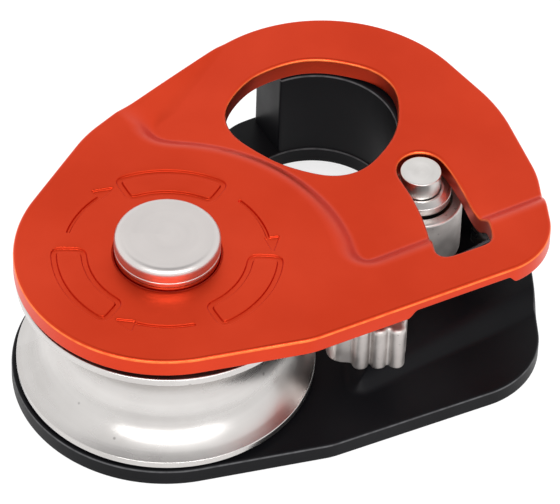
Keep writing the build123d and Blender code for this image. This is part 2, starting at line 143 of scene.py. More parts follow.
# cam: circles of its outline are x, y, radius
ARM = (26.3, 15.0, 3.2)
NOSE = (20.0, -1.6, 1.9)
TAB = (25.5, -2.2, 1.5)
RIB_R = 0.95
RIBS = [(22.0 + 2.03 * i, -3.6 + 0.2 * i) for i in range(3)]
CAM_Z = (6.8, 12.9)
TOOTH_R, TOOTH_PITCH, TEETH = 0.42, 1.5, 6
CAM_RIM, CAM_RIM_UNDER = 0.55, 0.3
WAIST, WAIST_FROM, WAIST_LENGTH = 2.2, -1.2, 14.0
BOSS_R, BOSS_Z = 5.0, (6.75, 14.1)
CAM_BORE_R = 3.05
BOSS_STEP_R = 3.8

# ---- pressed marks round the axle's head ----
MARK_DEPTH = 0.28
MARK_W = 0.84
MARK_WALL = 0.2                  # width of a mark's steep side
MARK_R = (8.9, 13.1)
MARK_HALF_ANGLE = radians(29)
MARK_REACH = 1.5                 # rounds a frame's corners
MARK_TURNS = (90, -30, -150)     # where the frames stand, in degrees
ARROW_R = 11.5
ARROW_W = 0.56
ARROW_TURNS = (30, -90, 150)     # where the arrows stand
ARROW_HALF_ANGLE = radians(17)
ARROW_TIP = radians(9)           # length of an arrow's head
ARROW_SIDES = (-0.3, 1.2)        # from the arrow's line to the head's two back corners
ARROW_LEAN = 0.3                 # from the line out to the tip
RIM_HIGHLIGHT_FROM = 13.9                 # no painted rim highlight nearer the axle's line than this, where the marks are

# ---- spacing of mesh points ----
STEP = 0.22                      # along the outlines
LINE_STEP = 0.12                 # along the ridge line, the marks and the cam
FINE, RIDGE_BAND = 0.3, 3.4      # within this distance of the ridge line
COARSE = 0.9                     # the rest of the moving plate's upper face
UNDERSIDE = 1.1                  # the faces that show less
FAR_OFF = 90                     # outside every outline


# ================= plane geometry =================
def resample(points, step, closed=True):
    # Points at even distances along a polyline
    points = np.asarray(points, float)
    if closed:
        points = np.vstack([points, points[:1]])
    lengths = np.r_[0, np.cumsum(np.hypot(*np.diff(points, axis=0).T))]
    count = max(3, int(round(lengths[-1] / step)))
    places = np.linspace(0, lengths[-1], count + (0 if closed else 1), endpoint=not closed)
    return np.stack([np.interp(places, lengths, points[:, 0]), np.interp(places, lengths, points[:, 1])], 1)


def smooth_loop(points, step, reach, closed=True):
    # Rounds corners by averaging each point with its neighbours within reach
    points = resample(points, step, closed)
    half = max(1, int(round(reach / step)))
    weights = np.hanning(2 * half + 3)[1:-1]
    weights /= weights.sum()
    if closed:
        padded = np.vstack([points[-half:], points, points[:half]])
    else:
        ahead = 2 * points[:1] - points[half:0:-1]
        behind = 2 * points[-1:] - points[-2:-half - 2:-1]
        padded = np.vstack([ahead, points, behind])
    return np.stack([np.convolve(padded[:, k], weights, "valid") for k in (0, 1)], 1)


def loop_normals(points):
    # Normals to the right of the direction of travel
    along = np.roll(points, -1, 0) - np.roll(points, 1, 0)
    normals = np.stack([along[:, 1], -along[:, 0]], 1)
    return normals / np.linalg.norm(normals, axis=1)[:, None]


def hull_loop(circles, step):
    # The rounded outline that wraps a list of circles, anticlockwise
    angles = np.linspace(0, 2 * pi, 2881)[:-1]
    ways = np.stack([np.cos(angles), np.sin(angles)], 1)
    centres = np.array([(x, y) for x, y, r in circles])
    radii = np.array([r for x, y, r in circles])
    best = (ways @ centres.T + radii).argmax(1)
    return resample(centres[best] + ways * radii[best][:, None], step)


def circle_loop(x, y, r, step):
    count = int(round(2 * pi * r / step))
    angles = np.linspace(0, 2 * pi, count + 1)[:-1]
    return np.stack([x + r * np.cos(angles), y + r * np.sin(angles)], 1)


def inside(points, loop):
    # Even-odd test of many points against one closed loop
    result = np.zeros(len(points), bool)
    x, y = points[:, 0], points[:, 1]
    following = np.roll(loop, -1, 0)
    for (xa, ya), (xb, yb) in zip(loop, following):
        if ya != yb:
            crosses = ((ya > y) != (yb > y)) & (x < (xb - xa) * (y - ya) / (yb - ya) + xa)
            result ^= crosses
    return result


def path_distance(points, path, closed=False):
    # Distance from each point to a polyline of short, even steps
    tree = KDTree(len(path))
    for i, (x, y) in enumerate(path.tolist()):
        tree.insert((x, y, 0), i)
    tree.balance()
    nearest = np.array([tree.find((x, y, 0))[1] for x, y in points.tolist()], int)
    result = np.full(len(points), 1e9)
    last = len(path) - 1
    for side in (-1, 1):
        other = (nearest + side) % len(path) if closed else np.clip(nearest + side, 0, last)
        along = path[other] - path[nearest]
        lengths = np.maximum((along ** 2).sum(1), 1e-12)
        away = points - path[nearest]
        share = np.clip((away * along).sum(1) / lengths, 0, 1)
        result = np.minimum(result, np.hypot(*(away - share[:, None] * along).T))
    return result


def smoothstep(value):
    value = np.clip(value, 0, 1)
    return value * value * (3 - 2 * value)


def polar(radius, angle):
    return (radius * cos(angle), radius * sin(angle))


# ================= the pressed ridge =================
def arc_through(a, b, c, count):
    # Points on the arc from a through b to c
    d = 2 * (a[0] * (b[1] - c[1]) + b[0] * (c[1] - a[1]) + c[0] * (a[1] - b[1]))
    squares = [p[0] ** 2 + p[1] ** 2 for p in (a, b, c)]
    ux = (squares[0] * (b[1] - c[1]) + squares[1] * (c[1] - a[1]) + squares[2] * (a[1] - b[1])) / d
    uy = (squares[0] * (c[0] - b[0]) + squares[1] * (a[0] - c[0]) + squares[2] * (b[0] - a[0])) / d
    radius = hypot(a[0] - ux, a[1] - uy)
    start, end = atan2(a[1] - uy, a[0] - ux), atan2(c[1] - uy, c[0] - ux)
    return [(ux + radius * cos(t), uy + radius * sin(t)) for t in np.linspace(start, end, count)]


def ridge_profile(across):
    # Share of the height at a distance from the steepest line: a tight foot and a wide crest
    steep = 1 / (FOOT_W / 2 + STRAIGHT_W + CREST_W / 2)
    foot, crest = -STRAIGHT_W / 2, STRAIGHT_W / 2
    low = steep / (2 * FOOT_W) * np.clip(across - foot + FOOT_W, 0, FOOT_W) ** 2
    middle = steep * np.clip(across - foot, 0, STRAIGHT_W)
    high = steep * CREST_W / 2 - steep / (2 * CREST_W) * np.clip(crest + CREST_W - across, 0, CREST_W) ** 2
    return low + middle + high


class Ridge:
    """The line that parts a plate's sheave end from its carabiner end, and the height across it."""

    def __init__(self, valley, end):
        arc = arc_through(RIDGE_HOOK, RIDGE_MID, valley, 120)
        hook = [(HOOK_CENTRE[0] + HOOK_R * cos(a), HOOK_CENTRE[1] + HOOK_R * sin(a))
                for a in np.linspace(*HOOK_ANGLES, 40)]
        arc = [p for p in arc if p[0] > hook[-1][0] + 0.2]
        arc = [p for p in arc if hypot(p[0] - valley[0], p[1] - valley[1]) > CORNER_CUT]
        way = (Vector(end) - Vector(valley)).normalized() * CORNER_CUT
        end_from = (valley[0] + way.x, valley[1] + way.y)
        line = [RIDGE_START] + hook + arc + [end_from, end]
        self.path = smooth_loop(line, LINE_STEP, RIDGE_REACH, closed=False)
        corners = [(end[0], -FAR_OFF), (-FAR_OFF, -FAR_OFF), (-FAR_OFF, RIDGE_START[1])]
        self.region = np.vstack([self.path, corners])

    def share(self, points, reverse=False):
        # 1 on the sheave end, 0 on the carabiner end; past the hook the step widens and fades
        signed = path_distance(points, self.path) * np.where(inside(points, self.region), 1, -1)
        away = points - HOOK_CENTRE
        turn = (np.arctan2(away[:, 1], away[:, 0]) + pi / 2) % (2 * pi) - pi / 2
        # from the hook's lowest point round to the flank, and none in the quarter towards the window
        fade = smoothstep((away[:, 1] + HOOK_R - FADE_FROM) / FADE_LENGTH)
        fade *= smoothstep((turn - FADE_TURN[0]) / (FADE_TURN[1] - FADE_TURN[0]))
        across = (signed + STEEPEST) / (1 + FADE * fade)
        return 1 - ridge_profile(-across) if reverse else ridge_profile(across)


# ================= meshes =================
def new_piece(name, verts, faces, normals, material, body, nodes, slot):
    mesh = bpy.data.meshes.new(name)
    mesh.from_pydata((np.asarray(verts) * MM).tolist(), [], faces)
    mesh.validate()
    mesh.shade_smooth()
    mesh.normals_split_custom_set_from_vertices(np.asarray(normals).tolist())
    mesh.materials.append(material)
    piece = bpy.data.objects.new(name, mesh)
    bpy.context.scene.collection.objects.link(piece)
    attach(piece, body)
    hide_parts(*nodes)


class Shell:
    """Vertices, normals and faces gathered for one piece."""

    def __init__(self):
        self.verts, self.normals, self.faces, self.count = [], [], [], 0

    def add(self, verts, normals):
        start = self.count
        self.verts.append(np.asarray(verts, float))
        self.normals.append(np.asarray(normals, float))
        self.count += len(verts)
        return start

    def strip(self, a, b, count, flip=False):
        # Quads between two closed rings of vertices
        for i in range(count):
            j = (i + 1) % count
            quad = (a + i, a + j, b + j, b + i)
            self.faces.append(quad[::-1] if flip else quad)

    def data(self):
        normals = np.vstack(self.normals)
        return np.vstack(self.verts), self.faces, normals / np.linalg.norm(normals, axis=1)[:, None]


def slope_normals(points, height, up):
    # Normals of the surface z = height(points)
    d = 0.02
    gx = (height(points + (d, 0)) - height(points - (d, 0))) / (2 * d)
    gy = (height(points + (0, d)) - height(points - (0, d))) / (2 * d)
    return np.stack([-gx * up, -gy * up, np.full(len(points), float(up))], 1)


def cap(shell, rings, extra, height, up):
    # Fills the surface between rings of vertices, with extra points inside
    flat = np.vstack([ring for start, ring in rings] + [extra])
    edges, first = [], 0
    for start, ring in rings:
        edges += [(first + i, first + (i + 1) % len(ring)) for i in range(len(ring))]
        first += len(ring)
    result = delaunay_2d_cdt([Vector(p) for p in flat.tolist()], edges, [], 0, 1e-7)
    points = np.array([tuple(v) for v in result[0]])
    known = {}
    first = 0
    for start, ring in rings:
        for i in range(len(ring)):
            known[first + i] = start + i
        first += len(ring)
    index = np.full(len(points), -1)
    fresh = []
    for i, originals in enumerate(result[3]):
        shared = [known[o] for o in originals if o in known]
        if shared:
            index[i] = shared[0]
        else:
            fresh.append(i)
    added = points[fresh]
    z = height(added)
    start = shell.add(np.column_stack([added, z]), slope_normals(added, height, up))
    index[fresh] = start + np.arange(len(fresh))
    triangles = np.array([f for f in result[2] if len(f) == 3])
    middles = points[triangles].mean(1)
    keep = inside(middles, rings[0][1])
    for _, ring in rings[1:]:
        keep &= ~inside(middles, ring)
    for a, b, c in triangles[keep]:
        face = (int(index[a]), int(index[b]), int(index[c]))
        shell.faces.append(face if up > 0 else face[::-1])


def rounded_slab(shell, outer, holes, top, bottom, rim_top, rim_bottom, top_extra, bottom_extra, steps=5):
    """A slab between two height functions: its rims are rounded by quarter circles.

    outer runs anticlockwise and holes run clockwise, so that normals point out of the slab.
    """
    top_rings, bottom_rings = [], []
    for loop in [outer] + holes:
        normals = loop_normals(loop)
        count = len(loop)
        previous = None
        sides = ((top, rim_top, 1, top_rings), (bottom, rim_bottom, -1, bottom_rings))
        for surface, rim, sign, rings in sides:
            levels = []
            for k in range(steps + 1):
                a = pi / 2 * k / steps
                ring = loop - normals * rim * (1 - sin(a))
                z = surface(ring) - sign * rim * (1 - cos(a))
                lean = slope_normals(ring, surface, sign)
                way = np.column_stack([normals * sin(a), np.zeros(count)]) + lean * cos(a)
                levels.append(shell.add(np.column_stack([ring, z]), way))
                if k == 0:
                    rings.append((levels[0], ring))
            for a, b in zip(levels, levels[1:]):
                shell.strip(a, b, count, flip=sign > 0)
            if sign > 0:
                previous = levels[-1]
            else:
                shell.strip(previous, levels[-1], count, flip=True)
    cap(shell, top_rings, top_extra, top, 1)
    cap(shell, bottom_rings, bottom_extra, bottom, -1)


def grid_points(loops, spacing, clearance, keep=None):
    # A staggered grid inside the first loop and outside the others
    low, high = loops[0].min(0), loops[0].max(0)
    rows = np.arange(low[1], high[1], spacing * 0.866)
    lines = [np.arange(low[0] + (i % 2) * spacing / 2, high[0], spacing) for i in range(len(rows))]
    points = np.vstack([np.column_stack([line, np.full(len(line), y)]) for line, y in zip(lines, rows)])
    if keep is not None:
        points = points[keep(points)]
    points = points[inside(points, loops[0])]
    for loop in loops[1:]:
        points = points[~inside(points, loop)]
    for loop in loops:
        points = points[path_distance(points, loop, closed=True) > clearance]
    return points


def thin_out(points, others, clearance):
    # Drops points that come too near to a set of others
    tree = KDTree(len(others))
    for i, (x, y) in enumerate(others.tolist()):
        tree.insert((x, y, 0), i)
    tree.balance()
    gaps = np.array([tree.find((x, y, 0))[2] for x, y in points.tolist()])
    return points[gaps > clearance]


def fillet_path(corners, closed):
    """A profile with rounded corners: corners are (r, z, rounding).

    Each straight run gets a guard point close to each of its ends, which keeps its shading flat.
    """
    count = len(corners)
    result = []
    for i, (x, y, radius) in enumerate(corners):
        here = np.array((x, y))
        if not closed and i in (0, count - 1):
            result.append(here)
            continue
        before = np.array(corners[(i - 1) % count][:2])
        after = np.array(corners[(i + 1) % count][:2])
        u, v = before - here, after - here
        room = min(np.linalg.norm(u), np.linalg.norm(v))
        u, v = u / np.linalg.norm(u), v / np.linalg.norm(v)
        half = 0.5 * np.arccos(np.clip(u @ v, -1, 1))
        if half > pi / 2 - 0.04:
            result.append(here)
            continue
        reach = min(max(radius, SHARP) / tan(half), 0.46 * room)
        radius = reach * tan(half)
        bisector = (u + v) / np.linalg.norm(u + v)
        centre = here + bisector * radius / sin(half)
        p, q = here + u * reach - centre, here + v * reach - centre
        steps = 7 if radius > 0.15 else 4
        guard = min(0.04, 0.03 * room)
        result.append(here + u * (reach + guard))
        sweep = atan2(p[0] * q[1] - p[1] * q[0], p @ q)
        for t in np.linspace(0, sweep, steps):
            result.append(centre + (p[0] * cos(t) - p[1] * sin(t), p[0] * sin(t) + p[1] * cos(t)))
        result.append(here + v * (reach + guard))
    return np.array(result)


def lathe(shell, profile, centre, closed, segments):
    """Turns a profile (r, z) about a vertical line. It runs upwards on its outside."""
    profile = np.asarray(profile, float)
    if closed:
        ahead = np.roll(profile, -1, 0) - profile
        behind = profile - np.roll(profile, 1, 0)
    else:
        step = np.diff(profile, axis=0)
        ahead, behind = np.vstack([step, step[-1:]]), np.vstack([step[:1], step])
    ahead = ahead / np.linalg.norm(ahead, axis=1)[:, None]
    behind = behind / np.linalg.norm(behind, axis=1)[:, None]
    way = ahead + behind
    normals = np.stack([way[:, 1], -way[:, 0]], 1)
    angles = np.linspace(0, 2 * pi, segments + 1)[:-1]
    rings = []
    for (r, z), (nr, nz) in zip(profile, normals):
        if r < 1e-6:
            start = shell.add([(centre[0], centre[1], z)], [(0, 0, 1 if nz >= 0 else -1)])
            rings.append((start, True))
            continue
        verts = np.column_stack([centre[0] + r * np.cos(angles), centre[1] + r * np.sin(angles),
                                 np.full(segments, z)])
        ways = np.column_stack([nr * np.cos(angles), nr * np.sin(angles), np.full(segments, nz)])
        rings.append((shell.add(verts, ways), False))
    pairs = list(zip(rings, rings[1:])) + ([(rings[-1], rings[0])] if closed else [])
    for (a, pole_a), (b, pole_b) in pairs:
        if pole_a or pole_b:
            for i in range(segments):
                j = (i + 1) % segments
                shell.faces.append((a, b + j, b + i) if pole_a else (a + i, a + j, b))
        else:
            shell.strip(a, b, segments)


# ================= materials =================
def material(name):
    made = bpy.data.materials.new(name)
    made.use_nodes = True
    nodes = made.node_tree.nodes
    return made, nodes, made.node_tree.links, nodes["Principled BSDF"]


def maths(nodes, kind, operation):
    made = nodes.new("ShaderNode" + kind)
    made.operation = operation
    return made


def ramp(nodes, low, high, a, b):
    made = nodes.new("ShaderNodeMapRange")
    made.inputs["From Min"].default_value = low
    made.inputs["From Max"].default_value = high
    made.inputs["To Min"].default_value = a
    made.inputs["To Max"].default_value = b
    return made


def colour_ramp(nodes, stops):
    made = nodes.new("ShaderNodeValToRGB")
    elements = made.color_ramp.elements
    while len(elements) < len(stops):
        elements.new(0.5)
    for element, (place, colour) in zip(elements, stops):
        element.position = place
        element.color = (*colour, 1)
    return made


def noise(nodes, links, source, scale, detail):
    made = nodes.new("ShaderNodeTexNoise")
    made.inputs["Scale"].default_value = scale
    made.inputs["Detail"].default_value = detail
    links.new(source, made.inputs["Vector"])
    return made.outputs["Fac"]


def bump(nodes, links, height, strength, distance, under=None):
    made = nodes.new("ShaderNodeBump")
    made.inputs["Strength"].default_value = strength
    made.inputs["Distance"].default_value = distance
    links.new(height, made.inputs["Height"])
    if under is not None:
        links.new(under, made.inputs["Normal"])
    return made.outputs["Normal"]


def anodised(name, dark, light, rim_highlight, metallic, rough, grain, highlight_strength):
    """Blasted and anodised aluminium: fine grain, soft clouds of colour, and a painted highlight on the upper
    rounded rims.
    """
    made, nodes, links, shader = material(name)
    coordinates = nodes.new("ShaderNodeTexCoord")
    place = coordinates.outputs["Object"]
    clouds = noise(nodes, links, place, 60, 4)
    tint = colour_ramp(nodes, [(0.35, dark), (0.7, light)])
    links.new(clouds, tint.inputs["Fac"])
    # painted highlight: a brighter colour on the rounded upper rims away from the pressed marks, broken up by
    # noise
    lean = nodes.new("ShaderNodeSeparateXYZ")
    links.new(coordinates.outputs["Normal"], lean.inputs[0])
    flat = maths(nodes, "VectorMath", "MULTIPLY")
    flat.inputs[1].default_value = (1, 1, 0)
    links.new(place, flat.inputs[0])
    reach = maths(nodes, "VectorMath", "LENGTH")
    links.new(flat.outputs[0], reach.inputs[0])
    rise, fall = ramp(nodes, 0.05, 0.3, 0, highlight_strength), ramp(nodes, 0.6, 0.74, 1, 0)
    for part in (rise, fall):
        links.new(lean.outputs["Z"], part.inputs["Value"])
    away = ramp(nodes, RIM_HIGHLIGHT_FROM * MM, (RIM_HIGHLIGHT_FROM + 0.5) * MM, 0, 1)
    links.new(reach.outputs["Value"], away.inputs["Value"])
    highlight_breakup = noise(nodes, links, place, 900, 3)
    broken = ramp(nodes, 0.35, 0.6, 0.6, 1)
    links.new(highlight_breakup, broken.inputs["Value"])
    share = rise
    for part in (fall, away, broken):
        both = maths(nodes, "Math", "MULTIPLY")
        links.new(share.outputs[0], both.inputs[0])
        links.new(part.outputs[0], both.inputs[1])
        share = both
    # the painted highlight colour is mixed over the plate's own colour on the upper rims
    mix = nodes.new("ShaderNodeMix")
    mix.data_type = "RGBA"
    links.new(share.outputs[0], mix.inputs["Factor"])
    links.new(tint.outputs["Color"], mix.inputs["A"])
    mix.inputs["B"].default_value = (*rim_highlight, 1)
    links.new(mix.outputs["Result"], shader.inputs["Base Color"])
    shader.inputs["Metallic"].default_value = metallic
    smears = noise(nodes, links, place, 140, 5)
    uneven = ramp(nodes, 0.3, 0.7, *rough)
    links.new(smears, uneven.inputs["Value"])
    links.new(uneven.outputs["Result"], shader.inputs["Roughness"])
    grains = noise(nodes, links, place, 5200, 2)
    dents = noise(nodes, links, place, 260, 3)
    under = bump(nodes, links, dents, 0.10, 0.00004)
    links.new(bump(nodes, links, grains, grain, 0.00001, under), shader.inputs["Normal"])
    return made


def turned_metal(name, centre, dark, light, rough, rings, strength,
                 spots=0.0, ring_scale=6000.0, anisotropy=0.0):
    """Machined metal: fine rings about a vertical line, streaks of roughness, a few small marks."""
    made, nodes, links, shader = material(name)
    place = nodes.new("ShaderNodeTexCoord").outputs["Object"]
    split = nodes.new("ShaderNodeSeparateXYZ")
    links.new(place, split.inputs[0])
    dx = maths(nodes, "Math", "SUBTRACT")
    dy = maths(nodes, "Math", "SUBTRACT")
    links.new(split.outputs["X"], dx.inputs[0])
    links.new(split.outputs["Y"], dy.inputs[0])
    dx.inputs[1].default_value = centre[0] * MM
    dy.inputs[1].default_value = centre[1] * MM
    flat = nodes.new("ShaderNodeCombineXYZ")
    links.new(dx.outputs[0], flat.inputs["X"])
    links.new(dy.outputs[0], flat.inputs["Y"])
    length = maths(nodes, "VectorMath", "LENGTH")
    links.new(flat.outputs[0], length.inputs[0])
    turn = maths(nodes, "Math", "ARCTAN2")
    links.new(dy.outputs[0], turn.inputs[0])
    links.new(dx.outputs[0], turn.inputs[1])
    small_turn = maths(nodes, "Math", "MULTIPLY")
    links.new(turn.outputs[0], small_turn.inputs[0])
    small_turn.inputs[1].default_value = 0.0004
    ring = nodes.new("ShaderNodeCombineXYZ")
    links.new(length.outputs["Value"], ring.inputs["X"])
    links.new(split.outputs["Z"], ring.inputs["Y"])
    links.new(small_turn.outputs[0], ring.inputs["Z"])
    fine = noise(nodes, links, ring.outputs[0], ring_scale, 3)
    broad = noise(nodes, links, ring.outputs[0], ring_scale / 9, 2)
    clouds = noise(nodes, links, place, 130, 4)
    tint = colour_ramp(nodes, [(0.3, dark), (0.7, light)])
    blend = maths(nodes, "Math", "MULTIPLY_ADD")
    links.new(broad, blend.inputs[0])
    blend.inputs[1].default_value = 0.45
    half = maths(nodes, "Math", "MULTIPLY")
    links.new(clouds, half.inputs[0])
    half.inputs[1].default_value = 0.55
    links.new(half.outputs[0], blend.inputs[2])
    links.new(blend.outputs[0], tint.inputs["Fac"])
    if spots:
        specks = nodes.new("ShaderNodeTexVoronoi")
        specks.inputs["Scale"].default_value = 330
        links.new(place, specks.inputs["Vector"])
        small = ramp(nodes, 0.05, 0.08, spots, 0)
        links.new(specks.outputs["Distance"], small.inputs["Value"])
        mix = nodes.new("ShaderNodeMix")
        mix.data_type = "RGBA"
        links.new(small.outputs["Result"], mix.inputs["Factor"])
        links.new(tint.outputs["Color"], mix.inputs["A"])
        mix.inputs["B"].default_value = (*(c * 0.3 for c in dark), 1)
        links.new(mix.outputs["Result"], shader.inputs["Base Color"])
    else:
        links.new(tint.outputs["Color"], shader.inputs["Base Color"])
    shader.inputs["Metallic"].default_value = 1.0
    uneven = ramp(nodes, 0.3, 0.7, *rough)
    links.new(blend.outputs[0], uneven.inputs["Value"])
    links.new(uneven.outputs["Result"], shader.inputs["Roughness"])
    if anisotropy:
        shader.inputs["Anisotropic"].default_value = anisotropy
        around = nodes.new("ShaderNodeTangent")
        around.direction_type = "RADIAL"
        around.axis = "Z"
        links.new(around.outputs[0], shader.inputs["Tangent"])
    links.new(bump(nodes, links, fine, strength, rings), shader.inputs["Normal"])
    return made


def tumbled_steel(name, dark, light, rough):
    """Investment-cast stainless steel, tumbled: soft pits, small dark marks, uneven gloss."""
    made, nodes, links, shader = material(name)
    place = nodes.new("ShaderNodeTexCoord").outputs["Object"]
    clouds = noise(nodes, links, place, 330, 5)
    tint = colour_ramp(nodes, [(0.3, dark), (0.7, light)])
    links.new(clouds, tint.inputs["Fac"])
    specks = noise(nodes, links, place, 1900, 2)
    pits = ramp(nodes, 0.68, 0.74, 0, 0.55)
    links.new(specks, pits.inputs["Value"])
    mix = nodes.new("ShaderNodeMix")
    mix.data_type = "RGBA"
    links.new(pits.outputs["Result"], mix.inputs["Factor"])
    links.new(tint.outputs["Color"], mix.inputs["A"])
    mix.inputs["B"].default_value = (*(c * 0.35 for c in dark), 1)
    links.new(mix.outputs["Result"], shader.inputs["Base Color"])
    shader.inputs["Metallic"].default_value = 1.0
    uneven = ramp(nodes, 0.3, 0.7, *rough)
    links.new(clouds, uneven.inputs["Value"])
    links.new(uneven.outputs["Result"], shader.inputs["Roughness"])
    grain = noise(nodes, links, place, 2600, 3)
    waves = noise(nodes, links, place, 420, 3)
    under = bump(nodes, links, waves, 0.35, 0.00006)
    links.new(bump(nodes, links, grain, 0.3, 0.00001, under), shader.inputs["Normal"])
    return made


def polymer(name, dark, light, rough):
    """Moulded plastic or rubber with a fine spark-eroded grain."""
    made, nodes, links, shader = material(name)
    place = nodes.new("ShaderNodeTexCoord").outputs["Object"]
    clouds = noise(nodes, links, place, 400, 3)
    tint = colour_ramp(nodes, [(0.3, dark), (0.7, light)])
    links.new(clouds, tint.inputs["Fac"])
    links.new(tint.outputs["Color"], shader.inputs["Base Color"])
    uneven = ramp(nodes, 0.3, 0.7, rough - 0.08, rough + 0.08)
    links.new(clouds, uneven.inputs["Value"])
    links.new(uneven.outputs["Result"], shader.inputs["Roughness"])
    grain = noise(nodes, links, place, 4000, 2)
    links.new(bump(nodes, links, grain, 0.4, 0.00002), shader.inputs["Normal"])
    return made


# the third colour of each plate is a painted highlight on its upper rounded rims
ORANGE = anodised("orange_anodised", dark=(0.58, 0.042, 0.013), light=(0.66, 0.056, 0.020),
                  rim_highlight=(1.0, 0.25, 0.07), metallic=1.0, rough=(0.31, 0.40), grain=0.22, highlight_strength=0.8)
BLACK = anodised("black_anodised", dark=(0.003, 0.003, 0.0038), light=(0.006, 0.006, 0.0072),
                 rim_highlight=(0.11, 0.11, 0.115), metallic=0.0, rough=(0.34, 0.48), grain=0.30, highlight_strength=0.8)
BLACK.node_tree.nodes["Principled BSDF"].inputs["Specular IOR Level"].default_value = 0.09
SHEAVE_METAL = turned_metal("turned_aluminium", (0, 0), dark=(0.50, 0.48, 0.465), light=(0.63, 0.61, 0.595),
                            rough=(0.22, 0.34), rings=0.000004, strength=0.35, spots=0.5)
HEAD_METAL = turned_metal("satin_steel_head", (0, 0), dark=(0.58, 0.545, 0.53), light=(0.68, 0.64, 0.62),
                          rough=(0.30, 0.40), rings=0.000003, strength=0.2)
PIN_METAL = turned_metal("satin_steel_pin", PIVOT, dark=(0.55, 0.53, 0.51), light=(0.70, 0.68, 0.66),
                         rough=(0.24, 0.34), rings=0.000003, strength=0.35, ring_scale=9000.0, anisotropy=0.6)
CAM_METAL = tumbled_steel("cast_stainless", (0.42, 0.39, 0.375), (0.58, 0.545, 0.525), (0.36, 0.52))
STEEL = tumbled_steel("bearing_steel", (0.45, 0.45, 0.45), (0.60, 0.60, 0.60), (0.18, 0.30))
SPRING = tumbled_steel("spring_steel", (0.05, 0.05, 0.055), (0.09, 0.09, 0.095), (0.35, 0.50))
BRONZE = tumbled_steel("bearing_bronze", (0.30, 0.17, 0.07), (0.46, 0.28, 0.12), (0.30, 0.45))
POLYMER = polymer("black_polymer", (0.010, 0.010, 0.010), (0.022, 0.022, 0.022), 0.45)
RUBBER = polymer("seal_rubber", (0.008, 0.008, 0.008), (0.016, 0.016, 0.016), 0.6)

LOOKS = {
    "black_anodised": BLACK, "orange_anodised": ORANGE, "turned_aluminium": SHEAVE_METAL,
    "satin_steel": HEAD_METAL, "cast_stainless": CAM_METAL, "spring_steel": SPRING,
    "bearing_steel": STEEL, "bearing_bronze": BRONZE, "black_polymer": POLYMER, "seal_rubber": RUBBER,
}


# ================= moving side plate =================
def window_loop():
    # The rounded opening for the carabiner, clockwise
    return resample(smooth_loop(hull_loop(WINDOW_CIRCLES, 0.1), 0.1, WINDOW_REACH), STEP)[::-1]


def slot_loop():
    # The curved slot, clockwise: a round upper end, arcs about the sheave's axis, a slanted lower end
    start = atan2(PIVOT[1], PIVOT[0])
    upper = [(PIVOT[0] + SLOT_HALF * cos(a), PIVOT[1] + SLOT_HALF * sin(a))
             for a in np.linspace(start + pi, start, 40)]
    way = (cos(SLOT_END_ANGLE), sin(SLOT_END_ANGLE))

    def crossing(radius, side):
        # where the slanted end meets a circle about the sheave's axis
        b = SLOT_END[0] * way[0] + SLOT_END[1] * way[1]
        c = SLOT_END[0] ** 2 + SLOT_END[1] ** 2 - radius ** 2
        t = -b + side * (b * b - c) ** 0.5
        return (SLOT_END[0] + t * way[0], SLOT_END[1] + t * way[1])

    outer = []
    for a in np.linspace(start, 0.0, 120):
        y = (PIVOT_R + SLOT_HALF) * sin(a)
        wide = float(smoothstep((SLOT_WIDE_Y[1] - y) / (SLOT_WIDE_Y[1] - SLOT_WIDE_Y[0])))
        radius = PIVOT_R + SLOT_HALF + SLOT_WIDE * wide
        outer.append(polar(radius, a))
    right = crossing(PIVOT_R + SLOT_HALF + SLOT_WIDE, 1)
    left = crossing(PIVOT_R - SLOT_HALF, 1)
    outer = [p for p in outer if p[1] > right[1]]
    heel = (left[0] + SLOT_HEEL * way[0], left[1] + SLOT_HEEL * way[1])
    first = atan2(left[1], left[0]) + SLOT_HEEL / (PIVOT_R - SLOT_HALF)
    inner = [polar(PIVOT_R - SLOT_HALF, a) for a in np.linspace(first, start, 60)]
    return resample(smooth_loop(upper + outer + [right, heel] + inner[:-1], 0.1, SLOT_REACH), STEP)


def mark_lines():
    # Centre lines and half widths of the three frames and three arrows pressed round the axle's head
    lines = []
    r0, r1 = MARK_R[0] + MARK_W / 2, MARK_R[1] - MARK_W / 2
    for turn in MARK_TURNS:
        a0, a1 = radians(turn) - MARK_HALF_ANGLE, radians(turn) + MARK_HALF_ANGLE
        far = [polar(r1, a) for a in np.linspace(a0, a1, 40)]
        near = [polar(r0, a) for a in np.linspace(a1, a0, 30)]
        loop = smooth_loop(far + near, LINE_STEP, MARK_REACH)
        lines.append((np.vstack([loop, loop[:1]]), MARK_W / 2))
    for turn in ARROW_TURNS:
        a0, a1 = radians(turn) - ARROW_HALF_ANGLE, radians(turn) + ARROW_HALF_ANGLE
        shaft = resample([polar(ARROW_R, a) for a in np.linspace(a0, a1, 30)], LINE_STEP, closed=False)
        lines.append((shaft, ARROW_W / 2))
    return lines


def arrow_heads():
    # Outlines of the arrows' triangular heads
    found = []
    low, high = ARROW_SIDES
    for turn in ARROW_TURNS:
        tip = radians(turn) - ARROW_HALF_ANGLE - ARROW_TIP
        back = radians(turn) - ARROW_HALF_ANGLE + radians(1)
        corners = [polar(ARROW_R + ARROW_LEAN, tip), polar(ARROW_R + high, back), polar(ARROW_R + low, back)]
        found.append(resample(corners, 0.08))
    return found


moving_ridge = Ridge(MOVING_VALLEY, MOVING_END)
marks = mark_lines()
heads = arrow_heads()


def moving_level(points):
    return TOP - EMBOSS_H * (1 - moving_ridge.share(points))


def mark_depth(points):
    # How deep the pressed marks are: flat-bottomed, with steep sides
    radius = np.hypot(points[:, 0], points[:, 1])
    near = (radius > MARK_R[0] - 1) & (radius < MARK_R[1] + 1)
    depth = np.zeros(len(points))
    if near.any():
        close = np.min([path_distance(points[near], line) - half for line, half in marks], axis=0)
        for head in heads:
            out = path_distance(points[near], head, closed=True)
            close = np.minimum(close, np.where(inside(points[near], head), -MARK_WALL, out - MARK_WALL))
        depth[near] = MARK_DEPTH * (1 - smoothstep((close + MARK_WALL) / MARK_WALL))
    return depth


def moving_top(points):
    return moving_level(points) - mark_depth(points)


